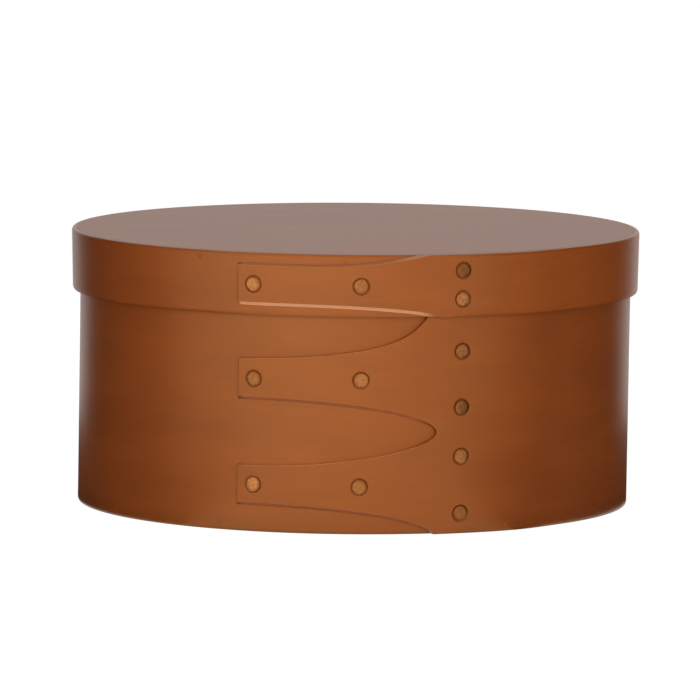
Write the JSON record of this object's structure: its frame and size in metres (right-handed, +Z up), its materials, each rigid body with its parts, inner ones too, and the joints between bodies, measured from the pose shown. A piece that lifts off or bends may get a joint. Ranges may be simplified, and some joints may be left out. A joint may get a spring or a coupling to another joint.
{
  "type": "round lidded box",
  "caption": "Round bentwood cheese box: a lapped hoop with swallowtail fingers and copper tacks, a pegged board in its base, and a lift-off lid made the same way.",
  "frame": {"origin": "on the axis of the side hoop, on the face that the box stands on", "axes": "+Z up, the laps of both hoops face -Y, and the fingers point towards -X"},
  "size_m": [0.2542, 0.2566, 0.1224],
  "materials": {
    "bent_maple": "stained and satin varnished, grain along the strip",
    "board_maple": "stained and satin varnished, straight grain across the board",
    "peg_wood": "end grain, cut level and stained with the hoop",
    "copper": "hammered copper, darkened under the varnish"
  },
  "bodies": {
    "box": {"side_band": "bent_maple", "bottom_board": "board_maple", "side_tack_1": "copper", "side_tack_2": "copper", "side_tack_3": "copper", "side_tack_4": "copper", "side_tack_5": "copper", "side_tack_6": "copper", "side_tack_7": "copper", "side_tack_8": "copper", "bottom_peg_01": "peg_wood", "bottom_peg_02": "peg_wood", "bottom_peg_03": "peg_wood", "bottom_peg_04": "peg_wood", "bottom_peg_05": "peg_wood", "bottom_peg_06": "peg_wood", "bottom_peg_07": "peg_wood", "bottom_peg_08": "peg_wood", "bottom_peg_09": "peg_wood", "bottom_peg_10": "peg_wood", "bottom_peg_11": "peg_wood", "bottom_peg_12": "peg_wood"},
    "lid": {"lid_band": "bent_maple", "lid_board": "board_maple", "lid_tack_1": "copper", "lid_tack_2": "copper", "lid_tack_3": "copper", "lid_tack_4": "copper", "lid_peg_01": "peg_wood", "lid_peg_02": "peg_wood", "lid_peg_03": "peg_wood", "lid_peg_04": "peg_wood", "lid_peg_05": "peg_wood", "lid_peg_06": "peg_wood", "lid_peg_07": "peg_wood", "lid_peg_08": "peg_wood", "lid_peg_09": "peg_wood", "lid_peg_10": "peg_wood", "lid_peg_11": "peg_wood", "lid_peg_12": "peg_wood"}
  },
  "joints": [
    {"name": "lid_lift", "type": "slide", "parent": "box", "child": "lid", "axis": [0, 0, 1], "range_m": [0, 0.06]}
  ]
}
